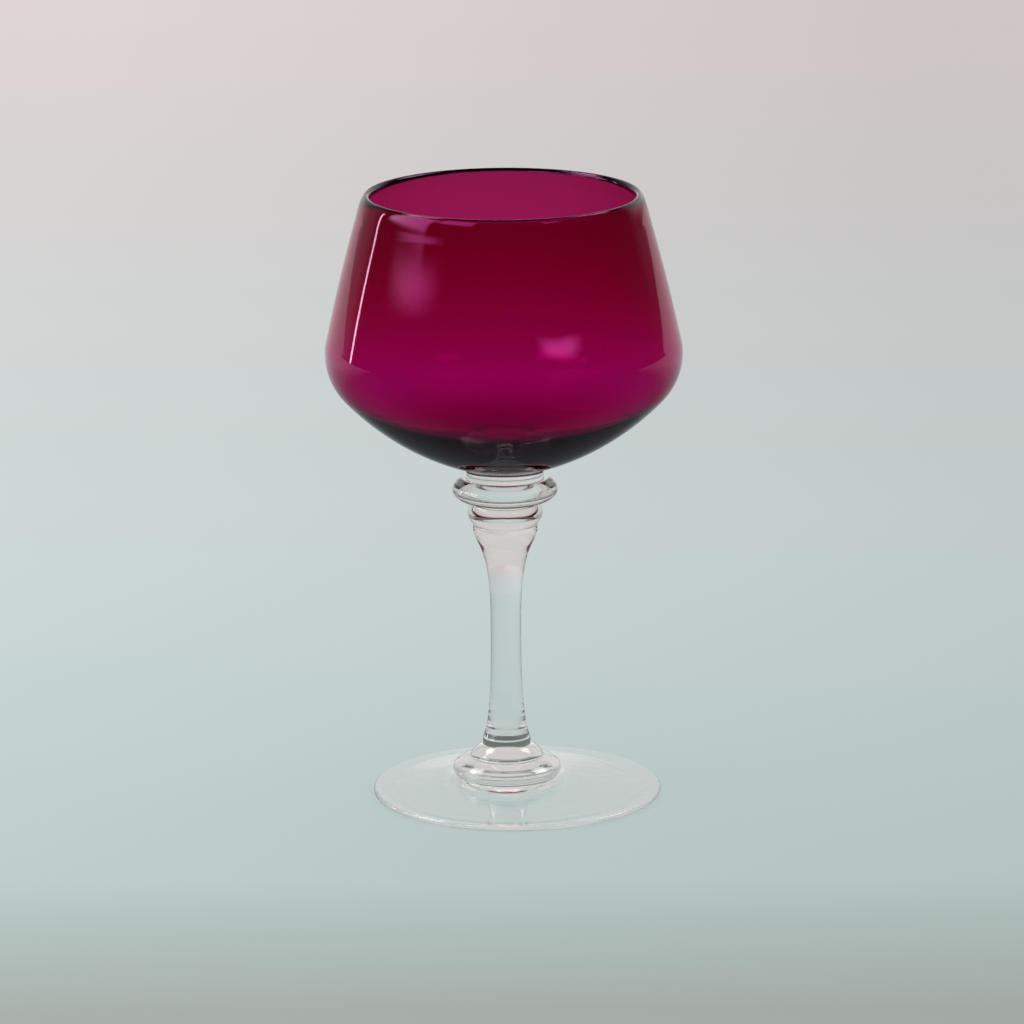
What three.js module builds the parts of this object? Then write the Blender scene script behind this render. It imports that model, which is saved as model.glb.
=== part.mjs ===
import * as THREE from "three";

// All lengths are millimetres, +Z is up and the glass stands on z = 0.
const SEGMENTS = 48;

// Heights of the stacked pieces, from the table up
const FOOT_HEIGHT = 5.6;
const FOOT_RING_HEIGHT = 4.6;
const FOOT_BEAD_HEIGHT = 3.7;
const STEM_HEIGHT = 63.7;
const NECK_BEAD_HEIGHT = 6.7;
const NECK_RING_HEIGHT = 6.2;
const WAFER_HEIGHT = 2.9;
const BOWL_HEIGHT = 77.8;

// Radii of the flat fused faces, each shared by the two pieces that meet there
const FOOT_JOINT_R = 14.2;
const FOOT_RINGS_JOINT_R = 9.6;
const STEM_BASE_JOINT_R = 6.7;
const STEM_HEAD_JOINT_R = 8.6;
const NECK_RINGS_JOINT_R = 9.2;
const WAFER_JOINT_R = 10.9;
const BOWL_JOINT_R = 11.1;

// Foot disc
const FOOT_R = 40.3;
const FOOT_EDGE = 1.6;
const FOOT_REST_WIDTH = 5;
const FOOT_SLOPE = THREE.MathUtils.degToRad(7);
const FOOT_SKIRT_R = 22;
const FOOT_HOLLOW = 2.8;
const FOOT_OFFSET_X = 2.9;

// How far each ring stands out past its larger fused face, and where on its height it is widest
const FOOT_RING_REACH = 1;
const FOOT_RING_WIDEST = 0.3;
const FOOT_RING_SHARPNESS = 1.15;
const FOOT_BEAD_REACH = 0.6;
const FOOT_BEAD_WIDEST = 0.12;
const FOOT_BEAD_SHARPNESS = 1.6;
const NECK_BEAD_REACH = 1.25;
const NECK_BEAD_WIDEST = 0.4;
const NECK_BEAD_UNDERCUT = 1.5;
const NECK_RING_REACH = 3.7;
const NECK_RING_WIDEST = 0.5;

// Stem
const STEM_WAIST_R = 4.25;
const STEM_HEAD_R = 8.97;
const STEM_HEAD_ROUND = 1;
const STEM_HEAD_FLARE = 26.7;
const STEM_HEAD_HANDLE = 5;
const STEM_WAIST_HANDLE = 22.7;
const STEM_BASE_COLLAR = 1.8;
const STEM_BASE_FLARE = 28;
const STEM_BASE_CURVE = 3.3;

// Bowl
const BOWL_WIDEST_R = 49.5;
const RIM_WALL = 2.7;
const LIP_ROUND = 6;
const SHOULDER_WALL = 1.1;
const WALL_BULGE = 0.27;
const BOWL_WALL_LEAN = THREE.MathUtils.degToRad(13.9);
const SHOULDER_ARC_R = 17;
const SHOULDER_TURN = THREE.MathUtils.degToRad(43);
const BOTTOM_ARC_R = 75;
const BOTTOM_FLARE_REACH = 2.2;
const BOTTOM_FLARE_RISE = 1.1;
const INNER_BOTTOM_ARC_R = 38;

// Wafer waist
const WAFER_WAIST = 0.25;

// Levels of the fused faces
const Z_FOOT_RING = FOOT_HEIGHT;
const Z_FOOT_BEAD = Z_FOOT_RING + FOOT_RING_HEIGHT;
const Z_STEM = Z_FOOT_BEAD + FOOT_BEAD_HEIGHT;
const Z_NECK_BEAD = Z_STEM + STEM_HEIGHT;
const Z_NECK_RING = Z_NECK_BEAD + NECK_BEAD_HEIGHT;
const Z_WAFER = Z_NECK_RING + NECK_RING_HEIGHT;
const Z_BOWL = Z_WAFER + WAFER_HEIGHT;

const clearGlass = { color: 0xe6ecea, roughness: 0.04, metalness: 0 };
const magentaGlass = { color: 0x78062f, roughness: 0.04, metalness: 0 };

// A point of an outline: distance from the axis, and height
function at(r, z) {
  return new THREE.Vector2(r, z);
}

// Points of a circular arc, angles measured from the horizontal outward direction
function arc(centre, radius, from, to, steps) {
  const points = [];
  for (let i = 0; i <= steps; i += 1) {
    const a = from + ((to - from) * i) / steps;
    points.push(at(centre.x + radius * Math.cos(a), centre.y + radius * Math.sin(a)));
  }
  return points;
}

// Points of a curve with two handles
function bend(start, handleA, handleB, end, steps) {
  return new THREE.CubicBezierCurve(start, handleA, handleB, end).getPoints(steps);
}

// Points of a shallow curve between two points of a wall, standing out in its middle
function bulged(start, end, bulge, steps) {
  const along = end.clone().sub(start);
  const out = at(along.y, -along.x).setLength((4 / 3) * bulge);
  const handleA = start.clone().lerp(end, 1 / 3).add(out);
  const handleB = start.clone().lerp(end, 2 / 3).add(out);
  return bend(start, handleA, handleB, end, steps);
}

// A quarter of an oval between a fused face and the widest circle of a ring
function ovalQuarter(jointR, jointZ, wideR, wideZ, steps, sharpness) {
  const points = [];
  for (let i = 0; i <= steps; i += 1) {
    const a = (i / steps) * (Math.PI / 2);
    const out = Math.sin(a) ** sharpness;
    const along = Math.cos(a) ** sharpness;
    points.push(at(jointR + (wideR - jointR) * out, wideZ + (jointZ - wideZ) * along));
  }
  return points;
}

// Outline turned round the axis, without points that repeat, standing at its level
function turned(name, outline, look, level) {
  const clean = outline.filter((p, i) => i === 0 || p.distanceTo(outline[i - 1]) > 0.01);
  const geometry = new THREE.LatheGeometry(clean, SEGMENTS).rotateX(Math.PI / 2);
  const mesh = new THREE.Mesh(geometry, new THREE.MeshStandardMaterial(look));
  mesh.name = name;
  mesh.position.z = level;
  return mesh;
}

// A ring bead between two fused faces; sharpness shapes it above its widest circle, undercut below
function ring(name, level, { height, lowR, highR, reach, widest, sharpness, undercut }) {
  const wideR = Math.max(lowR, highR) + reach;
  const wideZ = height * widest;
  const outline = [
    at(0, 0),
    ...ovalQuarter(lowR, 0, wideR, wideZ, 4, undercut),
    ...ovalQuarter(highR, height, wideR, wideZ, 6, sharpness).reverse(),
    at(0, height),
  ];
  return turned(name, outline, clearGlass, level);
}

// Moves the foot's edge off the stem's axis and leaves its hub on it
function setOff(geometry) {
  const points = geometry.getAttribute("position");
  for (let i = 0; i < points.count; i += 1) {
    const r = Math.hypot(points.getX(i), points.getY(i));
    const share = THREE.MathUtils.clamp((r - FOOT_SKIRT_R) / (FOOT_R - FOOT_SKIRT_R), 0, 1);
    points.setX(i, points.getX(i) + FOOT_OFFSET_X * share);
  }
}

function foot() {
  const edgeR = FOOT_EDGE / 2;
  const topR = FOOT_R - edgeR;
  const restR = topR - FOOT_REST_WIDTH;
  const slope = Math.tan(FOOT_SLOPE);
  const onPlate = (r) => at(r, FOOT_EDGE + (restR - r) * slope);
  const skirt = bend(
    onPlate(FOOT_SKIRT_R),
    onPlate((FOOT_SKIRT_R + FOOT_JOINT_R) / 2),
    at(FOOT_JOINT_R, FOOT_HEIGHT * 0.7),
    at(FOOT_JOINT_R, FOOT_HEIGHT),
    8,
  );
  const outline = [
    at(0, FOOT_HOLLOW),
    at(restR - FOOT_HOLLOW / slope, FOOT_HOLLOW),
    at(restR, 0),
    ...arc(at(topR, edgeR), edgeR, -Math.PI / 2, Math.PI / 2, 6),
    at(restR, FOOT_EDGE),
    ...skirt,
    at(0, FOOT_HEIGHT),
  ];
  const mesh = turned("foot", outline, clearGlass, 0);
  setOff(mesh.geometry);
  return mesh;
}

function stem() {
  const waistZ = STEM_BASE_COLLAR + STEM_BASE_FLARE;
  const headZ = STEM_HEIGHT - STEM_HEAD_ROUND;
  const flareZ = headZ - STEM_HEAD_FLARE;
  const base = bend(
    at(STEM_BASE_JOINT_R, STEM_BASE_COLLAR),
    at((STEM_BASE_JOINT_R + STEM_WAIST_R) * 0.47, STEM_BASE_COLLAR + STEM_BASE_CURVE),
    at(STEM_WAIST_R, STEM_BASE_COLLAR + STEM_BASE_FLARE * 0.4),
    at(STEM_WAIST_R, waistZ),
    8,
  );
  const head = bend(
    at(STEM_WAIST_R, flareZ),
    at(STEM_WAIST_R, flareZ + STEM_WAIST_HANDLE),
    at(STEM_HEAD_R, headZ - STEM_HEAD_HANDLE),
    at(STEM_HEAD_R, headZ),
    10,
  );
  const outline = [
    at(0, 0),
    at(STEM_BASE_JOINT_R, 0),
    ...base,
    ...head,
    at(STEM_HEAD_JOINT_R, STEM_HEIGHT),
    at(0, STEM_HEIGHT),
  ];
  return turned("stem", outline, clearGlass, Z_STEM);
}

function wafer() {
  const waist = Math.min(WAFER_JOINT_R, BOWL_JOINT_R) - WAFER_WAIST;
  const side = bend(
    at(WAFER_JOINT_R, 0),
    at(waist, WAFER_HEIGHT * 0.3),
    at(waist, WAFER_HEIGHT * 0.7),
    at(BOWL_JOINT_R, WAFER_HEIGHT),
    5,
  );
  const outline = [at(0, 0), ...side, at(0, WAFER_HEIGHT)];
  return turned("bowl_wafer", outline, clearGlass, Z_WAFER);
}

function bowl() {
  // The long bottom arc starts just above the fused face and runs into the shoulder arc.
  const startR = BOWL_JOINT_R + BOTTOM_FLARE_REACH;
  const gap = BOTTOM_ARC_R - SHOULDER_ARC_R;
  const shoulderR = BOWL_WIDEST_R - SHOULDER_ARC_R;
  const bottomR = shoulderR - gap * Math.cos(SHOULDER_TURN);
  const startAngle = Math.acos((startR - bottomR) / BOTTOM_ARC_R);
  const bottomZ = BOTTOM_FLARE_RISE + BOTTOM_ARC_R * Math.sin(startAngle);
  const shoulder = at(shoulderR, bottomZ - gap * Math.sin(SHOULDER_TURN));

  // Wall from the shoulder to the lip, which is rounded further down its outside
  const lipR = RIM_WALL / 2;
  const out = at(Math.cos(BOWL_WALL_LEAN), Math.sin(BOWL_WALL_LEAN));
  const middle = SHOULDER_ARC_R - lipR;
  const reachUp = (BOWL_HEIGHT - lipR - shoulder.y - middle * out.y) / out.x;
  const lip = at(
    shoulder.x + middle * out.x - reachUp * out.y,
    shoulder.y + middle * out.y + reachUp * out.x,
  );
  const wallLow = shoulder.clone().addScaledVector(out, SHOULDER_ARC_R);
  const up = at(-out.y, out.x);
  const lipEdge = lip.clone().addScaledVector(out, lipR);
  const wallHigh = lipEdge.clone().addScaledVector(up, -LIP_ROUND);
  const wallEnd = lipEdge.clone().lerp(wallHigh, 0.5);
  const crest = lip.clone().addScaledVector(up, lipR);
  const crestHandle = crest.clone().addScaledVector(out, lipR);

  // The inside thins towards the shoulder, then rounds into a flat floor and leaves a thick bottom.
  const innerLean = BOWL_WALL_LEAN + Math.atan((RIM_WALL - SHOULDER_WALL) / reachUp);
  const innerR = SHOULDER_ARC_R - SHOULDER_WALL;
  const innerGap = INNER_BOTTOM_ARC_R - innerR;
  const innerBottom = at(
    shoulderR - innerGap * Math.cos(SHOULDER_TURN),
    shoulder.y + innerGap * Math.sin(SHOULDER_TURN),
  );

  const outline = [
    at(0, 0),
    at(BOWL_JOINT_R, 0),
    ...arc(at(bottomR, bottomZ), BOTTOM_ARC_R, -startAngle, -SHOULDER_TURN, 7),
    ...arc(shoulder, SHOULDER_ARC_R, -SHOULDER_TURN, BOWL_WALL_LEAN, 8),
    ...bulged(wallLow, wallHigh, WALL_BULGE, 6),
    ...bend(wallHigh, wallEnd, crestHandle, crest, 6),
    ...arc(lip, lipR, BOWL_WALL_LEAN + Math.PI / 2, BOWL_WALL_LEAN + Math.PI, 3),
    ...arc(shoulder, innerR, innerLean, -SHOULDER_TURN, 8),
    ...arc(innerBottom, INNER_BOTTOM_ARC_R, -SHOULDER_TURN, -Math.PI / 2, 8),
    at(0, innerBottom.y - INNER_BOTTOM_ARC_R),
  ];
  return turned("bowl", outline, magentaGlass, Z_BOWL);
}

const footRing = {
  height: FOOT_RING_HEIGHT,
  lowR: FOOT_JOINT_R,
  highR: FOOT_RINGS_JOINT_R,
  reach: FOOT_RING_REACH,
  widest: FOOT_RING_WIDEST,
  sharpness: FOOT_RING_SHARPNESS,
  undercut: 1,
};
const footBead = {
  height: FOOT_BEAD_HEIGHT,
  lowR: FOOT_RINGS_JOINT_R,
  highR: STEM_BASE_JOINT_R,
  reach: FOOT_BEAD_REACH,
  widest: FOOT_BEAD_WIDEST,
  sharpness: FOOT_BEAD_SHARPNESS,
  undercut: 1,
};
const neckBead = {
  height: NECK_BEAD_HEIGHT,
  lowR: STEM_HEAD_JOINT_R,
  highR: NECK_RINGS_JOINT_R,
  reach: NECK_BEAD_REACH,
  widest: NECK_BEAD_WIDEST,
  sharpness: 1,
  undercut: NECK_BEAD_UNDERCUT,
};
const neckRing = {
  height: NECK_RING_HEIGHT,
  lowR: NECK_RINGS_JOINT_R,
  highR: WAFER_JOINT_R,
  reach: NECK_RING_REACH,
  widest: NECK_RING_WIDEST,
  sharpness: 1,
  undercut: 1,
};

const glass = new THREE.Group();
glass.name = "gin_glass";
glass.add(foot());
glass.add(ring("foot_ring", Z_FOOT_RING, footRing));
glass.add(ring("foot_bead", Z_FOOT_BEAD, footBead));
glass.add(stem());
glass.add(ring("neck_bead", Z_NECK_BEAD, neckBead));
glass.add(ring("neck_ring", Z_NECK_RING, neckRing));
glass.add(wafer());
glass.add(bowl());

export default glass;
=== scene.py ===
import math

import bmesh
import bpy
from mathutils import Matrix, Vector


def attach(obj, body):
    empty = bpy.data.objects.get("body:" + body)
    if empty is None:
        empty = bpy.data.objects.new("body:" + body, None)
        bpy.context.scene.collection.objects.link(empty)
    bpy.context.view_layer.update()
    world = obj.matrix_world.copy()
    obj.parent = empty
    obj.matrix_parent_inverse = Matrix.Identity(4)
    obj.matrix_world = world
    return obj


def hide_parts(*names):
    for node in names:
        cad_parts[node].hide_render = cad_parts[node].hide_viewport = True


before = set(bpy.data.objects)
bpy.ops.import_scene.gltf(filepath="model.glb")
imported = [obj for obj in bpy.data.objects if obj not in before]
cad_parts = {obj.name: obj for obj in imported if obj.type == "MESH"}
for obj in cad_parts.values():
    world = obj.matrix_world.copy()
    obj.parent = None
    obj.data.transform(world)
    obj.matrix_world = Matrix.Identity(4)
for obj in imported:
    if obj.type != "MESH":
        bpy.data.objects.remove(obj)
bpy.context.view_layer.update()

# Lengths of the glass are millimetres, as in its solids; everything else is metres.
MM = 0.001

# Heights of the stacked pieces, from the table up
FOOT_HEIGHT = 5.6
FOOT_RING_HEIGHT = 4.6
FOOT_BEAD_HEIGHT = 3.7
STEM_HEIGHT = 63.7
NECK_BEAD_HEIGHT = 6.7
NECK_RING_HEIGHT = 6.2
WAFER_HEIGHT = 2.9
BOWL_HEIGHT = 77.8

# Radii of the flat fused faces
FOOT_JOINT_R = 14.2
FOOT_RINGS_JOINT_R = 9.6
STEM_BASE_JOINT_R = 6.7
STEM_HEAD_JOINT_R = 8.6
NECK_RINGS_JOINT_R = 9.2
WAFER_JOINT_R = 10.9
BOWL_JOINT_R = 11.1

# Foot
FOOT_R = 40.3
FOOT_EDGE = 1.6
FOOT_REST_WIDTH = 5.0
FOOT_SLOPE = math.radians(7.0)
FOOT_SKIRT_R = 22.0
FOOT_SKIRT_HANDLE = 0.7
FOOT_HOLLOW = 2.8
FOOT_HOLLOW_HANDLE = 0.6
FOOT_HOLLOW_ROUND = 3.0
FOOT_OFFSET_X = 2.9

# Rings: how far and at which share of the height they stand out, and how pointed they are
FOOT_RING_REACH = 1.0
FOOT_RING_WIDEST = 0.3
FOOT_RING_SHARPNESS = 1.15
FOOT_RING_RIDGES = 3
RIDGE_HEIGHT = 0.08
FOOT_BEAD_REACH = 0.6
FOOT_BEAD_WIDEST = 0.12
FOOT_BEAD_SHARPNESS = 1.6
NECK_BEAD_REACH = 1.25
NECK_BEAD_WIDEST = 0.4
NECK_BEAD_UNDERCUT = 1.5
NECK_RING_REACH = 3.7
NECK_RING_WIDEST = 0.5

# Stem
STEM_WAIST_R = 4.25
STEM_HEAD_R = 8.97
STEM_HEAD_ROUND = 1.0
STEM_HEAD_ROUND_HANDLE = 0.6
STEM_HEAD_FLARE = 26.7
STEM_HEAD_HANDLE = 5.0
STEM_WAIST_HANDLE = 22.7
STEM_BASE_COLLAR = 1.8
STEM_BASE_FLARE = 28.0
STEM_BASE_CURVE = 3.3
STEM_BASE_PULL = 0.47
STEM_BASE_HANDLE = 0.4

# Wafer
WAFER_WAIST = 0.25
WAFER_HANDLES = (0.3, 0.7)

# Bowl
BOWL_WIDEST_R = 49.5
RIM_WALL = 2.7
LIP_ROUND = 6.0
WALL_BULGE = 0.27
SHOULDER_WALL = 1.1
BOWL_WALL_LEAN = math.radians(13.9)
SHOULDER_ARC_R = 17.0
SHOULDER_TURN = math.radians(43.0)
BOTTOM_ARC_R = 75.0
BOTTOM_FLARE_REACH = 2.2
BOTTOM_FLARE_RISE = 1.1
BOTTOM_FLARE_LOW_HANDLE = (0.4, 0.6)
BOTTOM_FLARE_HIGH_HANDLE = (0.8, 0.4)
INNER_BOTTOM_ARC_R = 38.0

# Fused faces stay this far apart, so that a ray meets both of them in turn
SEAM = 0.02

# Levels of the fused faces
Z_FOOT_RING = FOOT_HEIGHT
Z_FOOT_BEAD = Z_FOOT_RING + FOOT_RING_HEIGHT
Z_STEM = Z_FOOT_BEAD + FOOT_BEAD_HEIGHT
Z_NECK_BEAD = Z_STEM + STEM_HEIGHT
Z_NECK_RING = Z_NECK_BEAD + NECK_BEAD_HEIGHT
Z_WAFER = Z_NECK_RING + NECK_RING_HEIGHT
Z_BOWL = Z_WAFER + WAFER_HEIGHT

# Steps round the axis and along the outlines
AROUND = 256
DISC_STEPS = 6
FINE_STEPS = 60
LONG_STEPS = 40
SKIRT_STEPS = 30
ROUND_STEPS = 24
SLOPE_STEPS = 20
EDGE_STEPS = 16
SHORT_STEPS = 12
FEW_STEPS = 8

# Waves by which the glass departs from a true circle: share, waves round it, turn, turn per mm of height
UNROUND = ((0.0022, 2, 0.7, 0.011), (0.0016, 3, 2.1, -0.019), (0.0009, 5, 4.0, 0.043))
# An edge between faces that differ by more than this angle is sharp
SMOOTH_ANGLE = 0.6
ON_AXIS = 1e-6

# Camera, fitted to the rim, the foot and the bowl's outline
CAMERA_AWAY = 1.58
CAMERA_HEIGHT = 0.4791
CAMERA_PITCH = math.radians(14.15)
CAMERA_ROLL = math.radians(-0.4)
CAMERA_YAW = math.radians(-0.07)
CAMERA_LENS = 205.5
CAMERA_SENSOR = 36.0
CAMERA_CLIP = (0.01, 50.0)

# Glass
GLASS_IOR = 1.5
CLEAR_TINT = (0.997, 0.999, 0.998, 1.0)
CLEAR_RIPPLE_SIZE = 0.008
MAGENTA_RIPPLE_SIZE = 0.02
RIPPLE_DEPTH = 0.00006
RIPPLE_DETAIL = 1.5
RIPPLE_ROUGHNESS = 0.4
MAGENTA_PER_M = 600.0
MAGENTA_COLOUR = (0.8, 0.0, 0.5, 1.0)
MAGENTA_SHINE = (0.9, 0.09, 0.62, 1.0)
# Colour of one wall against height in mm
MAGENTA_WALL = ((112.0, (0.79, 0.06, 0.58)), (142.0, (0.69, 0.06, 0.32)),
                (171.0, (0.58, 0.07, 0.24)))
# Light bounces enough for all walls that a ray can cross
GLASS_BOUNCES = 96
CLEAR_BOUNCES = 64

# Floor, just under the foot's rest, and its colours against the distance behind the glass: the sweep's
# own mint and warm tints, with painted shade that makes them grey and darker towards the camera
FLOOR_HALF = 4.0
FLOOR_Z = -0.0001
FLOOR_ROUGHNESS = 0.9
FLOOR_TINTS_AND_SHADE = ((-0.19, (0.386, 0.423, 0.402)), (-0.118, (0.44, 0.527, 0.503)),
                 (-0.083, (0.49, 0.589, 0.568)), (0.05, (0.527, 0.619, 0.603)),
                 (0.256, (0.57, 0.645, 0.63)), (0.52, (0.591, 0.631, 0.624)),
                 (0.86, (0.631, 0.61, 0.61)), (1.34, (0.686, 0.61, 0.624)))
# Painted light and shade: how much lighter the floor is on the left than in the middle, and how far out
FLOOR_PAINTED_SIDE_SHADE = 0.08
FLOOR_PAINTED_SIDE_SHADE_HALF = 0.2
# Share of the floor's colour that shows without shade, straight and through glass
FLOOR_EVEN = 0.78
FLOOR_EVEN_THROUGH = 0.92
# Painted shade in the glass's reflections: strength of the floor near the glass where the glass mirrors
# it, far off and close beside the foot
FLOOR_MIRRORED_SHADE = 0.2
FLOOR_MIRRORED_SHADE_LOW = 0.6
FLOOR_MIRRORED_FROM = (0.06, 0.1)
FLOOR_MIRRORED_TO = (0.1, 0.55)
FLOOR_UNDER_FOOT = (0.048, 0.044)
# Glossy depths of rays that were mirrored once or twice, and the edge's softness
MIRRORED_DEPTHS = (0.5, 2.5, 0.25)
FIRST_DIFFUSE = 0.5

# Soft boxes of the room: azimuth from +Y to the right, elevation and edge softness in degrees, strength.
# None of them lights anything: the backdrop, the room behind and a painted skylight show only through
# the glass, and the mirrored boxes are painted highlights and reflections that show only in the glass.
BACKDROP = ((-60, 60), (-10, 55), (8, 8), 0.66)
PAINTED_SKYLIGHT = ((-180, 180), (50, 120), (10, 10), 1.2)
PAINTED_REFLECTION_BOXES = (
    ((-28, 28), (-20, 8), (20, 4), 0.95),
    ((-28, 28), (8, 38), (20, 4), 0.7),
    ((-65.6, -63.8), (-10, 18), (0.5, 0.5), 11.0),
    ((-114, -74), (15, 46), (3, 4), 5.0),
    ((-76, -38), (46, 62), (8, 4), 8.0),
    ((-62, -24), (-8, 30), (10, 6), 0.2),
    ((24, 52), (4, 30), (10, 6), 0.6),
    ((40, 66), (42, 60), (4, 4), 6.0),
    ((-152, -118), (34, 54), (3, 3), 4.0),
    ((126, 142), (40, 50), (3, 3), 2.5),
)
# Slanted boxes, painted reflections that show only in the glass: the box, its slant in degrees of
# elevation per degree, the azimuth of its middle
PAINTED_REFLECTION_WINDOWS = (
    (((-124, -96), (10.8, 12.4), (12, 1.4), 4.5), 0.13, -109.0),
    (((131, 153), (11.5, 12.3), (7, 0.35), 6.0), -0.085, 142.0),
)
FULL_TURN = 360
# Level of the room that the glass mirrors, a painted dim reflection, and of the room seen through the
# glass
PAINTED_REFLECTION_ROOM = 0.04
ROOM_BEHIND = 0.6
ROOM_COLOUR = (1.0, 0.97, 0.95, 1.0)
DOME = 1.0
WHITE = (1.0, 1.0, 1.0, 1.0)


# Curves of the outlines, as points of radius and height

def arc(centre_r, centre_z, radius, start, end, steps):
    """Points of an arc; angles are measured from the outward direction."""
    points = []
    for i in range(steps + 1):
        a = start + (end - start) * i / steps
        points.append((centre_r + radius * math.cos(a), centre_z + radius * math.sin(a)))
    return points


def bend(p0, p1, p2, p3, steps):
    """Points of a cubic curve with two handles."""
    points = []
    for i in range(steps + 1):
        t = i / steps
        u = 1.0 - t
        w = (u * u * u, 3 * u * u * t, 3 * u * t * t, t * t * t)
        points.append(tuple(sum(w[k] * p[axis] for k, p in enumerate((p0, p1, p2, p3)))
                            for axis in (0, 1)))
    return points


def straight(a, b, steps):
    """Points of a straight line."""
    return [(a[0] + (b[0] - a[0]) * i / steps, a[1] + (b[1] - a[1]) * i / steps)
            for i in range(steps + 1)]


def bulged(a, b, bulge, steps):
    """Points of a shallow curve between two points of a wall, standing out in its middle."""
    along = (b[0] - a[0], b[1] - a[1])
    reach = 4 / 3 * bulge / math.hypot(*along)
    handles = [(a[0] + along[0] * share + along[1] * reach,
                a[1] + along[1] * share - along[0] * reach) for share in (1 / 3, 2 / 3)]
    return bend(a, *handles, b, steps)


def oval_quarter(joint_r, joint_z, wide_r, wide_z, steps, sharpness):
    """Quarter of an oval from a fused face to the widest circle of a ring."""
    points = []
    for i in range(steps + 1):
        a = (i / steps) * (math.pi / 2)
        out = math.sin(a) ** sharpness
        along = max(0.0, math.cos(a)) ** sharpness
        points.append((joint_r + (wide_r - joint_r) * out, wide_z + (joint_z - wide_z) * along))
    return points


def flat_disc(radius, z, inward):
    """Points of a flat face between the axis and its edge."""
    points = [(radius * i / DISC_STEPS, z) for i in range(DISC_STEPS + 1)]
    return points[::-1] if inward else points


# Outlines of the pieces

def ring_outline(height, low_r, high_r, reach, widest, sharpness=1.0, undercut=1.0, ridges=0):
    """Ring between two fused faces, with fine ridges in its upper part."""
    wide_r = max(low_r, high_r) + reach
    wide_z = height * widest
    low = oval_quarter(low_r, SEAM, wide_r, wide_z, ROUND_STEPS, undercut)
    high = oval_quarter(high_r, height, wide_r, wide_z, FINE_STEPS, sharpness)
    wave = 2 * math.pi * ridges
    high = [(r + RIDGE_HEIGHT * math.sin(wave * i / FINE_STEPS), z)
            for i, (r, z) in enumerate(high)]
    return low + high[::-1][1:]


def stem_outline():
    """Drawn rod between a flared base with a collar and a flared head with a rounded edge."""
    collar = STEM_BASE_COLLAR
    base = bend((STEM_BASE_JOINT_R, collar),
                ((STEM_BASE_JOINT_R + STEM_WAIST_R) * STEM_BASE_PULL, collar + STEM_BASE_CURVE),
                (STEM_WAIST_R, collar + STEM_BASE_FLARE * STEM_BASE_HANDLE),
                (STEM_WAIST_R, collar + STEM_BASE_FLARE), LONG_STEPS)
    head_z = STEM_HEIGHT - STEM_HEAD_ROUND
    flare_z = head_z - STEM_HEAD_FLARE
    head = bend((STEM_WAIST_R, flare_z), (STEM_WAIST_R, flare_z + STEM_WAIST_HANDLE),
                (STEM_HEAD_R, head_z - STEM_HEAD_HANDLE), (STEM_HEAD_R, head_z), LONG_STEPS)
    edge = bend((STEM_HEAD_R, head_z),
                (STEM_HEAD_R, head_z + STEM_HEAD_ROUND * STEM_HEAD_ROUND_HANDLE),
                (STEM_HEAD_R, STEM_HEIGHT), (STEM_HEAD_JOINT_R, STEM_HEIGHT), FEW_STEPS)
    return [(STEM_BASE_JOINT_R, SEAM)] + base + head + edge[1:]


def wafer_outline():
    """Short disc with a slight waist."""
    waist = min(WAFER_JOINT_R, BOWL_JOINT_R) - WAFER_WAIST
    low, high = WAFER_HANDLES
    return bend((WAFER_JOINT_R, SEAM), (waist, WAFER_HEIGHT * low),
                (waist, WAFER_HEIGHT * high), (BOWL_JOINT_R, WAFER_HEIGHT), SHORT_STEPS)


def foot_outline():
    """Disc that is hollow underneath, from the middle of the hollow round the edge to the hub."""
    edge_r = FOOT_EDGE / 2
    top_r = FOOT_R - edge_r
    rest_r = top_r - FOOT_REST_WIDTH
    slope = math.tan(FOOT_SLOPE)
    hollow_r = rest_r - FOOT_HOLLOW / slope
    hollow_end = (hollow_r + FOOT_HOLLOW_ROUND, FOOT_HOLLOW - FOOT_HOLLOW_ROUND * slope)
    middle_r = (FOOT_SKIRT_R + FOOT_JOINT_R) / 2
    skirt_z, middle_z = (FOOT_EDGE + (rest_r - r) * slope for r in (FOOT_SKIRT_R, middle_r))
    hollow = bend((0.0, FOOT_HOLLOW), (hollow_r * FOOT_HOLLOW_HANDLE, FOOT_HOLLOW),
                  (hollow_r, FOOT_HOLLOW), hollow_end, SHORT_STEPS)
    under = straight(hollow[-1], (rest_r, 0.0), SLOPE_STEPS)
    edge = arc(top_r, edge_r, edge_r, -math.pi / 2, math.pi / 2, EDGE_STEPS)
    top = straight((rest_r, FOOT_EDGE), (FOOT_SKIRT_R, skirt_z), SLOPE_STEPS)
    skirt = bend((FOOT_SKIRT_R, skirt_z), (middle_r, middle_z),
                 (FOOT_JOINT_R, FOOT_HEIGHT * FOOT_SKIRT_HANDLE),
                 (FOOT_JOINT_R, FOOT_HEIGHT), SKIRT_STEPS)
    return hollow + under[1:] + edge + top + skirt[1:]


def foot_centre(r):
    """The foot's edge lies off the stem's axis, and its hub lies on it."""
    share = (r - FOOT_SKIRT_R) / (FOOT_R - FOOT_SKIRT_R)
    return FOOT_OFFSET_X * min(1.0, max(0.0, share))


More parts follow.
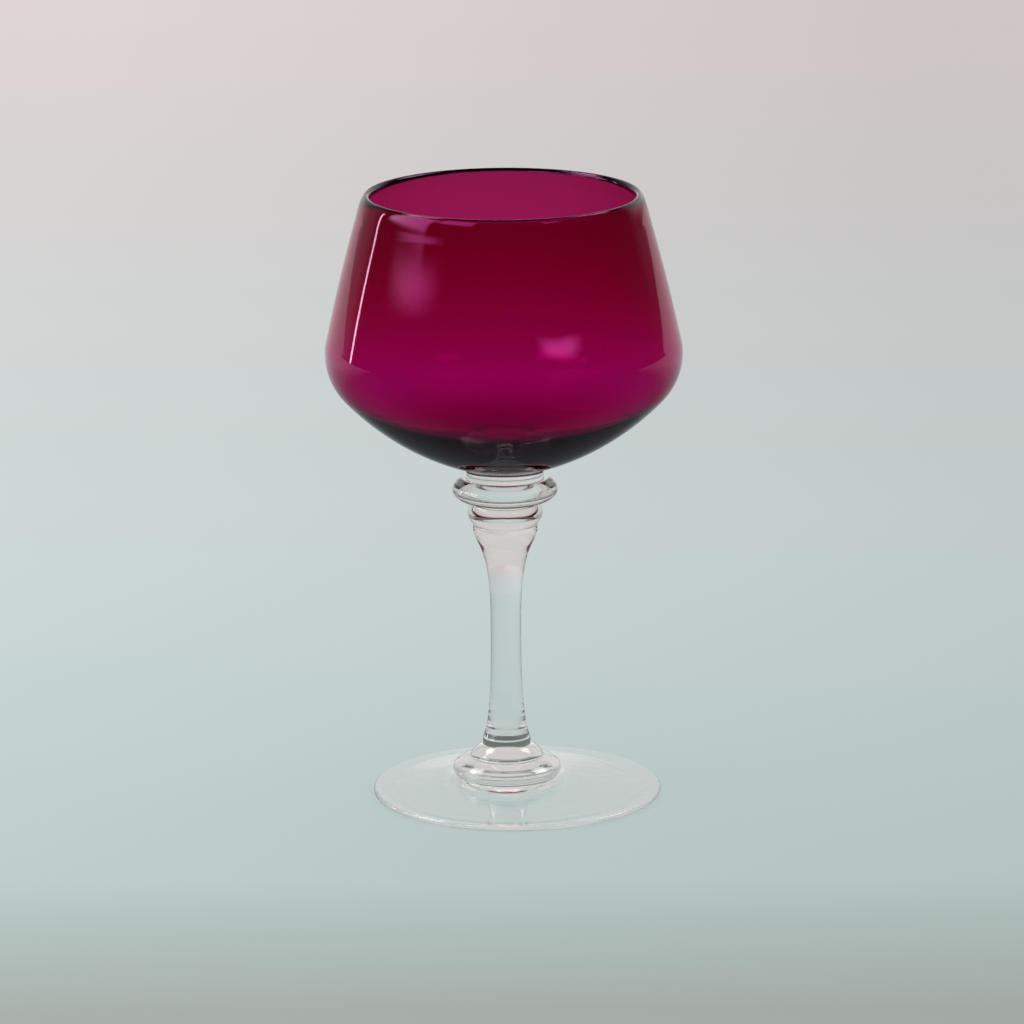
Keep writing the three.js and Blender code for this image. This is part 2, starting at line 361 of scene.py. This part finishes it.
def bowl_outline():
    """Hollow bowl, from the fused face up the outside, over the lip and down the inside."""
    start_r = BOWL_JOINT_R + BOTTOM_FLARE_REACH
    gap = BOTTOM_ARC_R - SHOULDER_ARC_R
    shoulder_r = BOWL_WIDEST_R - SHOULDER_ARC_R
    bottom_r = shoulder_r - gap * math.cos(SHOULDER_TURN)
    start_angle = math.acos((start_r - bottom_r) / BOTTOM_ARC_R)
    bottom_z = BOTTOM_FLARE_RISE + BOTTOM_ARC_R * math.sin(start_angle)
    shoulder_z = bottom_z - gap * math.sin(SHOULDER_TURN)

    lip_r = RIM_WALL / 2
    lean = BOWL_WALL_LEAN
    middle = SHOULDER_ARC_R - lip_r
    reach_up = (BOWL_HEIGHT - lip_r - shoulder_z - middle * math.sin(lean)) / math.cos(lean)
    lip = (shoulder_r + middle * math.cos(lean) - reach_up * math.sin(lean),
           shoulder_z + middle * math.sin(lean) + reach_up * math.cos(lean))

    inner_r = SHOULDER_ARC_R - SHOULDER_WALL
    inner_gap = INNER_BOTTOM_ARC_R - inner_r
    inner_bottom_r = shoulder_r - inner_gap * math.cos(SHOULDER_TURN)
    inner_bottom_z = shoulder_z + inner_gap * math.sin(SHOULDER_TURN)
    floor_z = inner_bottom_z - INNER_BOTTOM_ARC_R
    inner_lean = lean + math.atan((RIM_WALL - SHOULDER_WALL) / reach_up)

    low, high = BOTTOM_FLARE_LOW_HANDLE, BOTTOM_FLARE_HIGH_HANDLE
    flare = bend((BOWL_JOINT_R, SEAM), (BOWL_JOINT_R + low[0], low[1]),
                 (start_r - high[0], BOTTOM_FLARE_RISE - high[1]),
                 (start_r, BOTTOM_FLARE_RISE), FEW_STEPS)
    outer_bottom = arc(bottom_r, bottom_z, BOTTOM_ARC_R, -start_angle, -SHOULDER_TURN, LONG_STEPS)
    outer_shoulder = arc(shoulder_r, shoulder_z, SHOULDER_ARC_R, -SHOULDER_TURN, lean, LONG_STEPS)

    out = (math.cos(lean), math.sin(lean))
    edge_r, edge_z = lip[0] + lip_r * out[0], lip[1] + lip_r * out[1]
    crest = (lip[0] - lip_r * out[1], lip[1] + lip_r * out[0])
    crest_handle = (crest[0] + lip_r * out[0], crest[1] + lip_r * out[1])
    wall_top = (edge_r + LIP_ROUND * out[1], edge_z - LIP_ROUND * out[0])
    wall_end = ((wall_top[0] + edge_r) / 2, (wall_top[1] + edge_z) / 2)
    rim = bend(wall_top, wall_end, crest_handle, crest, ROUND_STEPS)
    rim += arc(lip[0], lip[1], lip_r, lean + math.pi / 2, lean + math.pi, SHORT_STEPS)[1:]

    inner_shoulder = arc(shoulder_r, shoulder_z, inner_r, inner_lean, -SHOULDER_TURN, LONG_STEPS)
    inner_bottom = arc(inner_bottom_r, inner_bottom_z, INNER_BOTTOM_ARC_R,
                       -SHOULDER_TURN, -math.pi / 2, FINE_STEPS)
    outer_wall = bulged(outer_shoulder[-1], rim[0], WALL_BULGE, LONG_STEPS)
    inner_wall = straight(rim[-1], inner_shoulder[0], LONG_STEPS)
    inner_floor = straight(inner_bottom[-1], (0.0, floor_z), SHORT_STEPS)
    return (flare + outer_bottom[1:] + outer_shoulder[1:] + outer_wall[1:] + rim[1:]
            + inner_wall[1:] + inner_shoulder[1:] + inner_bottom[1:] + inner_floor[1:])


# Meshes

def unround(angle, z):
    """Share by which the hot-worked glass departs from a true circle at a height in mm."""
    return sum(share * math.sin(waves * angle + turn + z * per_mm)
               for share, waves, turn, per_mm in UNROUND)


def turned(name, outline, level, fused_low, fused_high, centre=lambda r: 0.0):
    """Closed solid turned from an outline, with its fused faces marked in the skin attribute."""
    points = list(outline)
    marks = [1.0] * (len(points) - 1)
    if fused_low:
        low = flat_disc(points[0][0], points[0][1], inward=False)
        points = low[:-1] + points
        marks = [0.0] * (len(low) - 1) + marks
    if fused_high:
        high = flat_disc(points[-1][0], points[-1][1], inward=True)
        points = points + high[1:]
        marks = marks + [0.0] * (len(high) - 1)

    bm = bmesh.new()
    skin = bm.faces.layers.float.new("skin")
    rows = []
    for r, z in points:
        if r < ON_AXIS:
            rows.append([bm.verts.new((centre(r) * MM, 0.0, (level + z) * MM))])
            continue
        row = []
        for k in range(AROUND):
            a = 2 * math.pi * k / AROUND
            true_r = r * (1.0 + unround(a, level + z))
            row.append(bm.verts.new(((centre(r) + true_r * math.cos(a)) * MM,
                                     true_r * math.sin(a) * MM, (level + z) * MM)))
        rows.append(row)
    for low, high, mark in zip(rows[:-1], rows[1:], marks):
        for k in range(AROUND):
            n = (k + 1) % AROUND
            corners = [low[k % len(low)], low[n % len(low)],
                       high[n % len(high)], high[k % len(high)]]
            face = bm.faces.new(list(dict.fromkeys(corners)))
            face[skin] = mark
            face.smooth = True
    bm.normal_update()
    for edge in bm.edges:
        a, b = edge.link_faces
        edge.smooth = a[skin] == b[skin] and a.normal.angle(b.normal, 0.0) < SMOOTH_ANGLE
    mesh = bpy.data.meshes.new(name)
    bm.to_mesh(mesh)
    bm.free()
    piece = bpy.data.objects.new(name, mesh)
    bpy.context.collection.objects.link(piece)
    return piece


# Nodes, each added to the tree of a material or the world

def feed(tree, socket, value):
    """Give a socket a number, or the output of another node."""
    if isinstance(value, (int, float)):
        socket.default_value = value
    else:
        tree.links.new(value, socket)


def math_node(tree, operation, *values):
    node = tree.nodes.new("ShaderNodeMath")
    node.operation = operation
    for socket, value in zip(node.inputs, values):
        feed(tree, socket, value)
    return node.outputs[0]


def mix_value(tree, share, low, high):
    """low where share is 0, high where it is 1."""
    node = tree.nodes.new("ShaderNodeMix")
    node.data_type = "FLOAT"
    for name, value in (("Factor", share), ("A", low), ("B", high)):
        feed(tree, node.inputs[name], value)
    return node.outputs["Result"]


def fade(tree, value, start, end):
    """Smooth change from 0 where value is at its start to 1 at its end."""
    ramp = tree.nodes.new("ShaderNodeMapRange")
    ramp.interpolation_type = "SMOOTHSTEP"
    ramp.inputs["From Min"].default_value = start
    ramp.inputs["From Max"].default_value = end
    tree.links.new(value, ramp.inputs["Value"])
    return ramp.outputs["Result"]


def band(tree, value, low, high, soft):
    """1 where value lies between low and high, with soft edges."""
    rise = fade(tree, value, low - soft, low + soft)
    fall = fade(tree, value, high + soft, high - soft)
    return math_node(tree, "MULTIPLY", rise, fall)


def colour_along(tree, value, stops):
    """Colour that changes with value through stops of a value and a colour."""
    low, high = stops[0][0], stops[-1][0]
    spread = tree.nodes.new("ShaderNodeMapRange")
    spread.inputs["From Min"].default_value = low
    spread.inputs["From Max"].default_value = high
    ramp = tree.nodes.new("ShaderNodeValToRGB")
    elements = ramp.color_ramp.elements
    while len(elements) < len(stops):
        elements.new(1.0)
    for element, (where, colour) in zip(elements, stops):
        element.position = (where - low) / (high - low)
        element.color = (*colour, 1.0)
    tree.links.new(value, spread.inputs["Value"])
    tree.links.new(spread.outputs["Result"], ramp.inputs["Fac"])
    return ramp.outputs["Color"]


def place(tree, coordinates):
    """Coordinates of the shaded point, and the outputs of their X, Y and Z."""
    where = tree.nodes.new("ShaderNodeTexCoord").outputs[coordinates]
    split = tree.nodes.new("ShaderNodeSeparateXYZ")
    tree.links.new(where, split.inputs["Vector"])
    return where, split.outputs


def seen_rays(tree):
    """1 for rays that show a surface, straight or in the glass, and 0 for those that light others."""
    path = tree.nodes.new("ShaderNodeLightPath").outputs
    seen = math_node(tree, "ADD", path["Is Camera Ray"], path["Is Glossy Ray"])
    seen = math_node(tree, "ADD", seen, path["Is Transmission Ray"])
    seen = math_node(tree, "MINIMUM", seen, 1.0)
    first = math_node(tree, "LESS_THAN", path["Diffuse Depth"], FIRST_DIFFUSE)
    return math_node(tree, "MULTIPLY", seen, first)


# Materials

def new_material(name):
    """Material with its node tree and its main shader."""
    mat = bpy.data.materials.new(name)
    mat.use_nodes = True
    return mat, mat.node_tree, mat.node_tree.nodes["Principled BSDF"]


def glass_material(name, tint, ripple_size):
    """Polished hand-worked glass: clear with faint ripples; fused faces show nothing."""
    mat, tree, bsdf = new_material(name)
    bsdf.inputs["Base Color"].default_value = tint
    bsdf.inputs["Metallic"].default_value = 0.0
    bsdf.inputs["Roughness"].default_value = 0.0
    bsdf.inputs["IOR"].default_value = GLASS_IOR
    bsdf.inputs["Transmission Weight"].default_value = 1.0

    skin = tree.nodes.new("ShaderNodeAttribute")
    skin.attribute_name = "skin"
    tree.links.new(skin.outputs["Fac"], bsdf.inputs["Alpha"])

    where = tree.nodes.new("ShaderNodeTexCoord")
    ripple = tree.nodes.new("ShaderNodeTexNoise")
    ripple.inputs["Scale"].default_value = 1.0 / ripple_size
    ripple.inputs["Detail"].default_value = RIPPLE_DETAIL
    ripple.inputs["Roughness"].default_value = RIPPLE_ROUGHNESS
    bump = tree.nodes.new("ShaderNodeBump")
    bump.inputs["Strength"].default_value = 1.0
    bump.inputs["Distance"].default_value = RIPPLE_DEPTH
    tree.links.new(where.outputs["Object"], ripple.inputs["Vector"])
    tree.links.new(ripple.outputs["Fac"], bump.inputs["Height"])
    tree.links.new(bump.outputs["Normal"], bsdf.inputs["Normal"])
    return mat


def magenta_material():
    """Magenta glass: redder towards the rim, and dark where it is thick."""
    mat = glass_material("polished_magenta_glass", WHITE, MAGENTA_RIPPLE_SIZE)
    tree = mat.node_tree
    bsdf = tree.nodes["Principled BSDF"]
    bsdf.inputs["Specular Tint"].default_value = MAGENTA_SHINE
    _, axes = place(tree, "Object")
    wall = colour_along(tree, axes["Z"], [(z * MM, colour) for z, colour in MAGENTA_WALL])
    tree.links.new(wall, bsdf.inputs["Base Color"])
    inside = tree.nodes.new("ShaderNodeVolumeAbsorption")
    inside.inputs["Color"].default_value = MAGENTA_COLOUR
    inside.inputs["Density"].default_value = MAGENTA_PER_M
    tree.links.new(inside.outputs["Volume"], tree.nodes["Material Output"].inputs["Volume"])
    return mat


def floor_material():
    """Pale matt sweep, mint round the foot and warm far back, with painted shade: grey and darker near
    the camera, and darker to the right.
    """
    mat, tree, bsdf = new_material("floor")
    bsdf.inputs["Roughness"].default_value = FLOOR_ROUGHNESS
    bsdf.inputs["Specular IOR Level"].default_value = 0.0
    where, axes = place(tree, "Object")
    # Painted light and shade: the colour along Y darkens towards the camera, and the side ramp lightens
    # the left and darkens the right
    side = tree.nodes.new("ShaderNodeMapRange")
    side.inputs["From Min"].default_value = -FLOOR_PAINTED_SIDE_SHADE_HALF
    side.inputs["From Max"].default_value = FLOOR_PAINTED_SIDE_SHADE_HALF
    side.inputs["To Min"].default_value = 1.0 + FLOOR_PAINTED_SIDE_SHADE
    side.inputs["To Max"].default_value = 1.0 - FLOOR_PAINTED_SIDE_SHADE
    tree.links.new(axes["X"], side.inputs["Value"])
    shade = tree.nodes.new("ShaderNodeVectorMath")
    shade.operation = "SCALE"
    tree.links.new(colour_along(tree, axes["Y"], FLOOR_TINTS_AND_SHADE), shade.inputs[0])
    tree.links.new(side.outputs["Result"], shade.inputs["Scale"])
    tree.links.new(shade.outputs["Vector"], bsdf.inputs["Base Color"])
    even = tree.nodes.new("ShaderNodeEmission")
    tree.links.new(shade.outputs["Vector"], even.inputs["Color"])

    # Painted shade: the glass mirrors the floor near it darker than the floor is lit
    path = tree.nodes.new("ShaderNodeLightPath").outputs
    near = fade(tree, axes["Y"], *reversed(FLOOR_MIRRORED_TO))
    mirrored = band(tree, path["Glossy Depth"], *MIRRORED_DEPTHS)
    mirrored = math_node(tree, "MULTIPLY", mirrored, near)
    reach = tree.nodes.new("ShaderNodeVectorMath")
    reach.operation = "LENGTH"
    tree.links.new(where, reach.inputs[0])
    under = fade(tree, reach.outputs["Value"], *FLOOR_UNDER_FOOT)
    far = fade(tree, path["Ray Length"], *FLOOR_MIRRORED_FROM)
    far = math_node(tree, "MAXIMUM", far, under)
    dimmed = mix_value(tree, far, FLOOR_MIRRORED_SHADE_LOW, FLOOR_MIRRORED_SHADE)
    tree.links.new(mix_value(tree, mirrored, 1.0, dimmed), even.inputs["Strength"])

    # Rays that show the floor see mostly its even colour, and the rest sees it lit and shaded
    share = mix_value(tree, path["Is Transmission Ray"], FLOOR_EVEN, FLOOR_EVEN_THROUGH)
    share = math_node(tree, "MAXIMUM", share, mirrored)
    share = math_node(tree, "MULTIPLY", share, seen_rays(tree))
    mix = tree.nodes.new("ShaderNodeMixShader")
    tree.links.new(share, mix.inputs["Fac"])
    tree.links.new(bsdf.outputs["BSDF"], mix.inputs[1])
    tree.links.new(even.outputs["Emission"], mix.inputs[2])
    tree.links.new(mix.outputs["Shader"], tree.nodes["Material Output"].inputs["Surface"])
    return mat


# Stage

def make_camera():
    data = bpy.data.cameras.new("camera")
    data.lens = CAMERA_LENS
    data.sensor_width = CAMERA_SENSOR
    data.clip_start, data.clip_end = CAMERA_CLIP
    camera = bpy.data.objects.new("camera", data)
    bpy.context.collection.objects.link(camera)
    turn = (Matrix.Rotation(CAMERA_YAW, 4, "Z")
            @ Matrix.Rotation(math.pi / 2 - CAMERA_PITCH, 4, "X")
            @ Matrix.Rotation(CAMERA_ROLL, 4, "Z"))
    stand = Vector((0.0, -CAMERA_AWAY, CAMERA_HEIGHT))
    camera.matrix_world = Matrix.Translation(stand) @ turn
    bpy.context.scene.camera = camera


def make_floor():
    half, z = FLOOR_HALF, FLOOR_Z
    mesh = bpy.data.meshes.new("floor")
    corners = [(-half, -half, z), (half, -half, z), (half, half, z), (-half, half, z)]
    mesh.from_pydata(corners, [], [(0, 1, 2, 3)])
    floor = bpy.data.objects.new("floor", mesh)
    bpy.context.collection.objects.link(floor)
    floor.data.materials.append(floor_material())


def soft_box(tree, azimuth, elevation, box):
    """Strength of one soft box in a direction."""
    (az_low, az_high), (el_low, el_high), (az_soft, el_soft), strength = box
    shape = band(tree, elevation, el_low, el_high, el_soft)
    if az_high - az_low < FULL_TURN:
        side = band(tree, azimuth, az_low, az_high, az_soft)
        shape = math_node(tree, "MULTIPLY", shape, side)
    return math_node(tree, "MULTIPLY", shape, strength)


def make_world():
    """Even dome for light; in the glass itself, a pale backdrop in a dim room with a painted skylight,
    and painted highlights and reflections of soft boxes that light nothing.
    """
    world = bpy.data.worlds.new("studio")
    bpy.context.scene.world = world
    world.use_nodes = True
    tree = world.node_tree
    background = tree.nodes["Background"]
    _, axes = place(tree, "Generated")
    azimuth = math_node(tree, "ARCTAN2", axes["X"], axes["Y"])
    azimuth = math_node(tree, "DEGREES", azimuth)
    elevation = math_node(tree, "ARCSINE", axes["Z"])
    elevation = math_node(tree, "DEGREES", elevation)

    behind = soft_box(tree, azimuth, elevation, BACKDROP)
    behind = math_node(tree, "MAXIMUM", behind, ROOM_BEHIND)
    behind = math_node(tree, "MAXIMUM", behind, soft_box(tree, azimuth, elevation, PAINTED_SKYLIGHT))
    # Painted highlights and reflections: boxes that show only in the glass's reflections and light
    # nothing
    mirrored = PAINTED_REFLECTION_ROOM
    for box in PAINTED_REFLECTION_BOXES:
        shine = soft_box(tree, azimuth, elevation, box)
        mirrored = math_node(tree, "ADD", shine, mirrored)
    for box, slant, middle in PAINTED_REFLECTION_WINDOWS:
        slanted = math_node(tree, "SUBTRACT", azimuth, middle)
        slanted = math_node(tree, "MULTIPLY", slanted, slant)
        slanted = math_node(tree, "ADD", slanted, elevation)
        shine = soft_box(tree, azimuth, slanted, box)
        mirrored = math_node(tree, "ADD", shine, mirrored)

    path = tree.nodes.new("ShaderNodeLightPath").outputs
    room = mix_value(tree, path["Is Reflection Ray"], behind, mirrored)
    seen = seen_rays(tree)
    tree.links.new(mix_value(tree, seen, DOME, room), background.inputs["Strength"])
    colour = tree.nodes.new("ShaderNodeMix")
    colour.data_type = "RGBA"
    ends = [socket for socket in colour.inputs if socket.type == "RGBA"]
    for socket, end in zip(ends, (WHITE, ROOM_COLOUR)):
        socket.default_value = end
    tree.links.new(seen, colour.inputs["Factor"])
    tint = next(socket for socket in colour.outputs if socket.type == "RGBA")
    tree.links.new(tint, background.inputs["Color"])


# Pieces

def make_glass():
    clear = glass_material("polished_clear_glass", CLEAR_TINT, CLEAR_RIPPLE_SIZE)
    magenta = magenta_material()
    foot_ring = ring_outline(FOOT_RING_HEIGHT, FOOT_JOINT_R, FOOT_RINGS_JOINT_R, FOOT_RING_REACH,
                             FOOT_RING_WIDEST, FOOT_RING_SHARPNESS, ridges=FOOT_RING_RIDGES)
    foot_bead = ring_outline(FOOT_BEAD_HEIGHT, FOOT_RINGS_JOINT_R, STEM_BASE_JOINT_R,
                             FOOT_BEAD_REACH, FOOT_BEAD_WIDEST, FOOT_BEAD_SHARPNESS)
    neck_bead = ring_outline(NECK_BEAD_HEIGHT, STEM_HEAD_JOINT_R, NECK_RINGS_JOINT_R,
                             NECK_BEAD_REACH, NECK_BEAD_WIDEST, undercut=NECK_BEAD_UNDERCUT)
    neck_ring = ring_outline(NECK_RING_HEIGHT, NECK_RINGS_JOINT_R, WAFER_JOINT_R, NECK_RING_REACH,
                             NECK_RING_WIDEST)
    pieces = [
        ("foot", turned("glass_foot", foot_outline(), 0.0, False, True, foot_centre), clear),
        ("foot_ring", turned("glass_foot_ring", foot_ring, Z_FOOT_RING, True, True), clear),
        ("foot_bead", turned("glass_foot_bead", foot_bead, Z_FOOT_BEAD, True, True), clear),
        ("stem", turned("glass_stem", stem_outline(), Z_STEM, True, True), clear),
        ("neck_bead", turned("glass_neck_bead", neck_bead, Z_NECK_BEAD, True, True), clear),
        ("neck_ring", turned("glass_neck_ring", neck_ring, Z_NECK_RING, True, True), clear),
        ("bowl_wafer", turned("glass_bowl_wafer", wafer_outline(), Z_WAFER, True, True), clear),
        ("bowl", turned("glass_bowl", bowl_outline(), Z_BOWL, True, False), magenta),
    ]
    for node, piece, material in pieces:
        piece.data.materials.append(material)
        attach(piece, "root")
        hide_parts(node)


def set_light_paths():
    scene = bpy.context.scene
    scene.view_settings.view_transform = "Standard"
    scene.cycles.max_bounces = GLASS_BOUNCES
    scene.cycles.transmission_bounces = GLASS_BOUNCES
    scene.cycles.glossy_bounces = GLASS_BOUNCES
    scene.cycles.transparent_max_bounces = CLEAR_BOUNCES


make_camera()
make_floor()
make_world()
make_glass()
set_light_paths()
